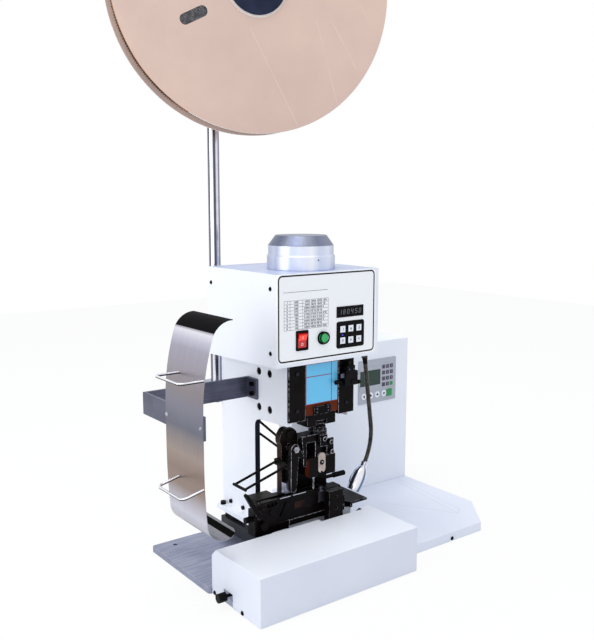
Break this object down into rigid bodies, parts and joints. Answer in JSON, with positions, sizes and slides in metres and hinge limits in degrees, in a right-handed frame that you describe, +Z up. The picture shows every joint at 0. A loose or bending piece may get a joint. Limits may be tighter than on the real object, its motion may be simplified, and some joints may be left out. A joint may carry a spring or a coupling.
{
  "type": "cable stripping and crimping machine",
  "caption": "Bench machine with a terminal crimping press, a stripping unit under a front cover, a control box on a work table, a paper chute, a lamp and a terminal reel on a pole.",
  "frame": {"origin": "point on the underside of the base plate straight below the crimping line, where the machine rests on its bench", "axes": "+X to the right along the front, +Y from the operator to the back, +Z up"},
  "size_m": [0.8178, 0.505, 1.442],
  "materials": {
    "white_paint": "satin",
    "panel_white": "satin",
    "black_oxide": "satin",
    "black_plastic": "matte",
    "rubber_pad": "matte",
    "dark_paint": "satin",
    "machined_steel": "satin",
    "brown_steel": "satin",
    "sheet_steel": "brushed",
    "cap_aluminium": "satin",
    "bar_aluminium": "brushed",
    "chrome": "polished",
    "blue_plate": "gloss",
    "red_plastic": "gloss",
    "green_plastic": "gloss",
    "grey_plastic": "satin",
    "cardboard": "matte",
    "terminal_brass": "satin"
  },
  "bodies": {
    "base": {"base_plate": "machined_steel", "riser": "dark_paint", "foot_pads": "rubber_pad", "frame_left": "white_paint", "frame_right": "white_paint", "frame_spacers": "white_paint", "frame_head": "machined_steel", "frame_bolts": "black_oxide", "bed_plate": "black_oxide", "head_cover": "white_paint", "cover_brackets": "machined_steel", "cover_screws": "black_oxide", "control_panel": "panel_white", "panel_bezels": "black_plastic", "counter_display": "black_plastic", "panel_keypad": "black_plastic", "gearbox": "dark_paint", "motor": "dark_paint", "motor_cap": "cap_aluminium", "gib_left": "black_oxide", "gib_right": "black_oxide", "gib_screws": "black_oxide", "position_sensor": "black_plastic", "app_base": "black_oxide", "app_frame": "black_oxide", "anvil": "machined_steel", "feed_bracket": "black_oxide", "terminal_track": "black_oxide", "strip_guide": "black_oxide", "throat_cables": "black_plastic", "strip_unit": "machined_steel", "front_cover": "white_paint", "work_table": "white_paint", "control_box": "white_paint", "box_panel": "grey_plastic", "chute": "sheet_steel", "chute_loops": "chrome", "chute_bracket": "bar_aluminium", "lamp_mount": "machined_steel", "pole": "chrome", "reel_holder": "machined_steel"},
    "press_ram": {"ram": "brown_steel", "ram_plate": "blue_plate", "ram_adapter": "black_oxide", "app_ram": "black_oxide", "crimper": "machined_steel"},
    "crank": {"crank": "machined_steel"},
    "upper_dial": {"dial_upper": "black_oxide"},
    "lower_dial": {"dial_lower": "black_oxide"},
    "lever": {"feed_lever": "black_oxide"},
    "finger": {"feed_finger": "machined_steel"},
    "release": {"track_lever": "black_oxide"},
    "carriage": {"strip_carriage": "black_oxide"},
    "knob": {"length_knob": "black_plastic"},
    "rocker": {"power_switch": "red_plastic"},
    "button": {"start_button": "green_plastic"},
    "neck": {"gooseneck": "black_plastic"},
    "lamp": {"lamp_head": "chrome"},
    "reel": {"reel": "cardboard", "terminal_coil": "terminal_brass"}
  },
  "joints": [
    {"name": "ram_slide", "type": "slide", "parent": "base", "child": "press_ram", "axis": [0, 0, -1], "range_m": [0, 0.03]},
    {"name": "crank_turn", "type": "hinge", "parent": "base", "child": "crank", "pos_m": [0, 0.06, 0.458], "axis": [0, 1, 0], "range_deg": [0, 180]},
    {"name": "upper_dial_turn", "type": "hinge", "parent": "press_ram", "child": "upper_dial", "pos_m": [0, 0, 0.274], "axis": [0, 0, 1], "continuous": true},
    {"name": "lower_dial_turn", "type": "hinge", "parent": "press_ram", "child": "lower_dial", "pos_m": [0, 0, 0.267], "axis": [0, 0, 1], "continuous": true},
    {"name": "feed_lever_turn", "type": "hinge", "parent": "base", "child": "lever", "pos_m": [-0.066, -0.009, 0.242], "axis": [0, 1, 0], "range_deg": [0, 11.97]},
    {"name": "feed_finger_slide", "type": "slide", "parent": "base", "child": "finger", "axis": [-1, 0, 0], "range_m": [0, 0.017]},
    {"name": "release_lever_turn", "type": "hinge", "parent": "base", "child": "release", "pos_m": [-0.159, -0.022, 0.128], "axis": [0, 1, 0], "range_deg": [0, 45]},
    {"name": "strip_slide", "type": "slide", "parent": "base", "child": "carriage", "axis": [0, 1, 0], "range_m": [0, 0.008]},
    {"name": "length_knob_turn", "type": "hinge", "parent": "base", "child": "knob", "pos_m": [-0.27, -0.075, 0.02], "axis": [1, 0, 0], "continuous": true},
    {"name": "power_rocker", "type": "hinge", "parent": "base", "child": "rocker", "pos_m": [-0.0665, -0.033, 0.464], "axis": [-1, 0, 0], "range_deg": [0, 20]},
    {"name": "start_press", "type": "slide", "parent": "base", "child": "button", "axis": [0, 1, 0], "range_m": [0, 0.003], "stiffness_N_per_m": 200},
    {"name": "neck_turn", "type": "hinge", "parent": "base", "child": "neck", "pos_m": [0.111, -0.015, 0.416], "axis": [0, 0, 1], "range_deg": [0, 110]},
    {"name": "lamp_tilt", "type": "hinge", "parent": "neck", "child": "lamp", "pos_m": [0.11442, -0.015, 0.17784], "axis": [0, 1, 0], "range_deg": [-35, 8]},
    {"name": "reel_spin", "type": "hinge", "parent": "base", "child": "reel", "pos_m": [-0.052, 0.15, 1.152], "axis": [-0.2419, -0.9703, 0], "continuous": true}
  ],
  "couplings": [
    {"joint": "crank_turn", "follows": "ram_slide", "rad_per_m": 104.72},
    {"joint": "feed_lever_turn", "follows": "ram_slide", "rad_per_m": 6.9611},
    {"joint": "feed_finger_slide", "follows": "ram_slide", "ratio": 0.56667}
  ]
}
